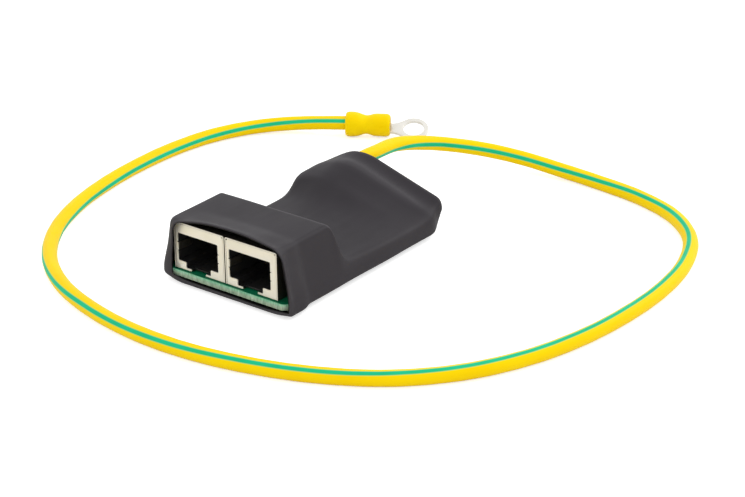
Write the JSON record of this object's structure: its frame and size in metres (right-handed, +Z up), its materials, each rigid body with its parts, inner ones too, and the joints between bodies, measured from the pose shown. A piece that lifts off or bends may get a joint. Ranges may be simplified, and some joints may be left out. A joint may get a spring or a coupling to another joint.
{
  "type": "ethernet surge protector",
  "caption": "Shielded network jacks side by side on a board in a black heat-shrunk sleeve, with a striped earth wire looped round to an insulated ring terminal.",
  "frame": {"origin": "under the middle of the sleeve, on the surface that it lies on", "axes": "+X to the right seen from the jacks, +Y from the jacks' faces to the back, where the earth wire leaves, +Z up"},
  "size_m": [0.155, 0.1419, 0.0191],
  "materials": {
    "sleeve": "satin heat-shrunk film",
    "board": "green solder mask",
    "jack_shield": "tinned sheet",
    "jack_housing": "moulded",
    "contact": "gold-plated wire",
    "diode": "moulded",
    "bridge": "moulded",
    "gas_tube": "ceramic with metal ends",
    "core": "bare copper strands",
    "cable": "yellow insulation with green stripes",
    "insulator": "moulded",
    "terminal": "tinned copper"
  },
  "bodies": {
    "root": {"heat_shrink_sleeve": "sleeve", "circuit_board": "board", "left_jack_shield": "jack_shield", "left_jack_housing": "jack_housing", "left_jack_contact_1": "contact", "left_jack_contact_2": "contact", "left_jack_contact_3": "contact", "left_jack_contact_4": "contact", "left_jack_contact_5": "contact", "left_jack_contact_6": "contact", "left_jack_contact_7": "contact", "left_jack_contact_8": "contact", "right_jack_shield": "jack_shield", "right_jack_housing": "jack_housing", "right_jack_contact_1": "contact", "right_jack_contact_2": "contact", "right_jack_contact_3": "contact", "right_jack_contact_4": "contact", "right_jack_contact_5": "contact", "right_jack_contact_6": "contact", "right_jack_contact_7": "contact", "right_jack_contact_8": "contact", "suppressor_diode_1": "diode", "diode_bridge_1": "bridge", "suppressor_diode_2": "diode", "diode_bridge_2": "bridge", "suppressor_diode_3": "diode", "diode_bridge_3": "bridge", "suppressor_diode_4": "diode", "diode_bridge_4": "bridge", "gas_discharge_tube": "gas_tube", "soldered_core": "core", "ground_cable": "cable", "terminal_insulator": "insulator", "ring_terminal": "terminal", "conductor_tip": "core"}
  },
  "joints": []
}
